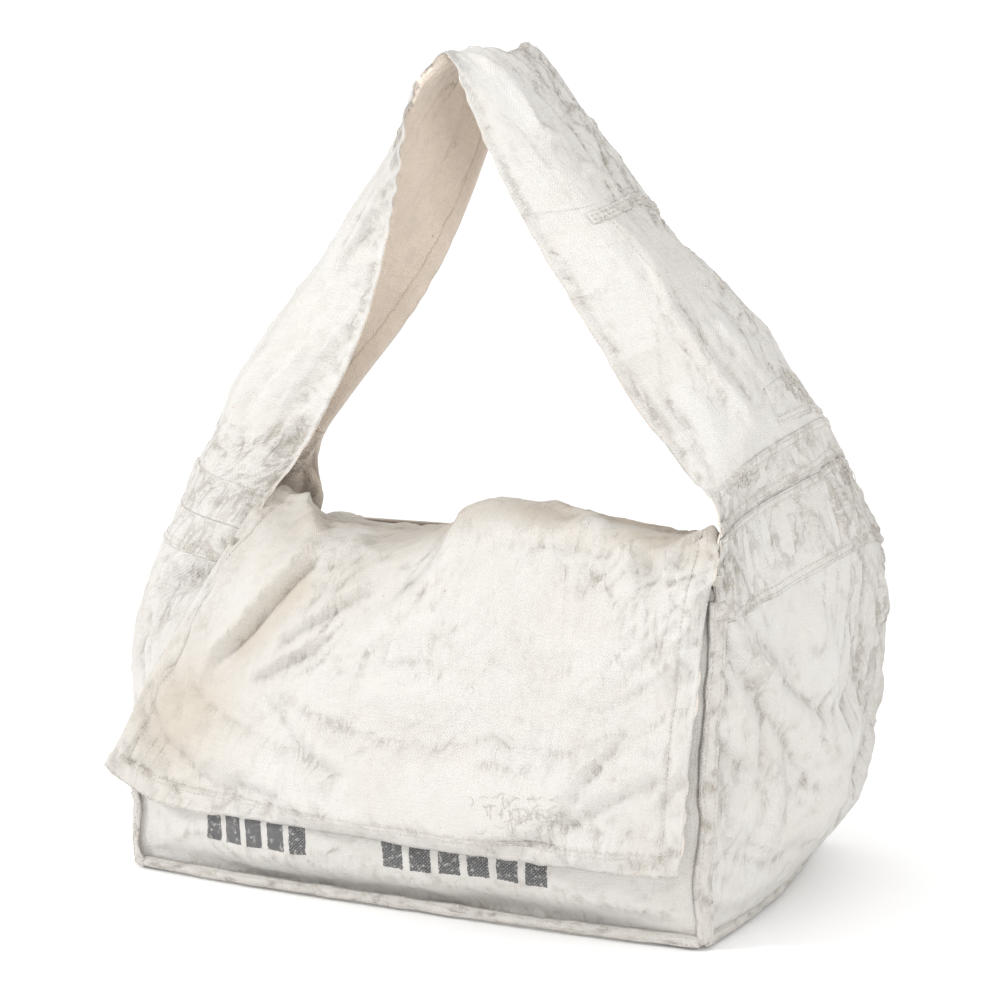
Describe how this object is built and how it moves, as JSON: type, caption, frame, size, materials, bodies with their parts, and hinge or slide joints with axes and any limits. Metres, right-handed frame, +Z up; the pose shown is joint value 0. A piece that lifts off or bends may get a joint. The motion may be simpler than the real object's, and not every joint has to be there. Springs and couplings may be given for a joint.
{
  "type": "canvas mail sack",
  "caption": "Wide, deep shoulder sack of sewn canvas with a front-hanging cover flap and a broad patched strap rising from the end gussets.",
  "frame": {"origin": "on the ground, at the middle of the flat base panel", "axes": "+Z up towards the strap's crown, +X to the right along the sack's width, -Y out of the front, the side the flap hangs on"},
  "size_m": [0.5187, 0.3097, 0.565],
  "materials": {
    "canvas": "matt, washed and worn plain-weave cotton",
    "canvas_seam": "matt, doubled and rubbed plain-weave cotton",
    "thread": "matt cotton thread"
  },
  "bodies": {
    "sack": {"front_panel": "canvas", "back_panel": "canvas", "bottom_panel": "canvas", "left_gusset": "canvas", "right_gusset": "canvas", "front_mouth_hem": "canvas_seam", "flap_back_seam": "canvas_seam", "flap_top": "canvas", "front_left_seam": "canvas_seam", "front_right_seam": "canvas_seam", "back_left_seam": "canvas_seam", "back_right_seam": "canvas_seam", "bottom_front_seam": "canvas_seam", "bottom_back_seam": "canvas_seam", "bottom_left_seam": "canvas_seam", "bottom_right_seam": "canvas_seam", "left_gusset_patch": "canvas_seam", "right_gusset_patch": "canvas_seam", "bar_tacks": "thread", "sack_stitching": "thread"},
    "flap": {"flap_front": "canvas", "flap_bottom_hem": "canvas_seam", "flap_left_hem": "canvas_seam", "flap_right_hem": "canvas_seam", "flap_darn": "thread", "flap_stitching": "thread"},
    "strap": {"strap_left_length": "canvas", "strap_right_length": "canvas", "strap_splice_patch": "canvas_seam", "strap_front_hem": "canvas_seam", "strap_back_hem": "canvas_seam", "strap_left_patch": "canvas_seam", "strap_right_lower_patch": "canvas_seam", "strap_right_upper_patch": "canvas_seam", "strap_outer_darn": "thread", "strap_inner_darn": "thread", "strap_stitching": "thread"}
  },
  "joints": [
    {"name": "flap_lift", "type": "hinge", "parent": "sack", "child": "flap", "pos_m": [0, -0.088, 0.271], "axis": [-1, 0, 0], "range_deg": [0, 70]},
    {"name": "strap_swing", "type": "hinge", "parent": "sack", "child": "strap", "pos_m": [0, 0, 0.27], "axis": [-1, 0, 0], "range_deg": [-25, 35]}
  ]
}
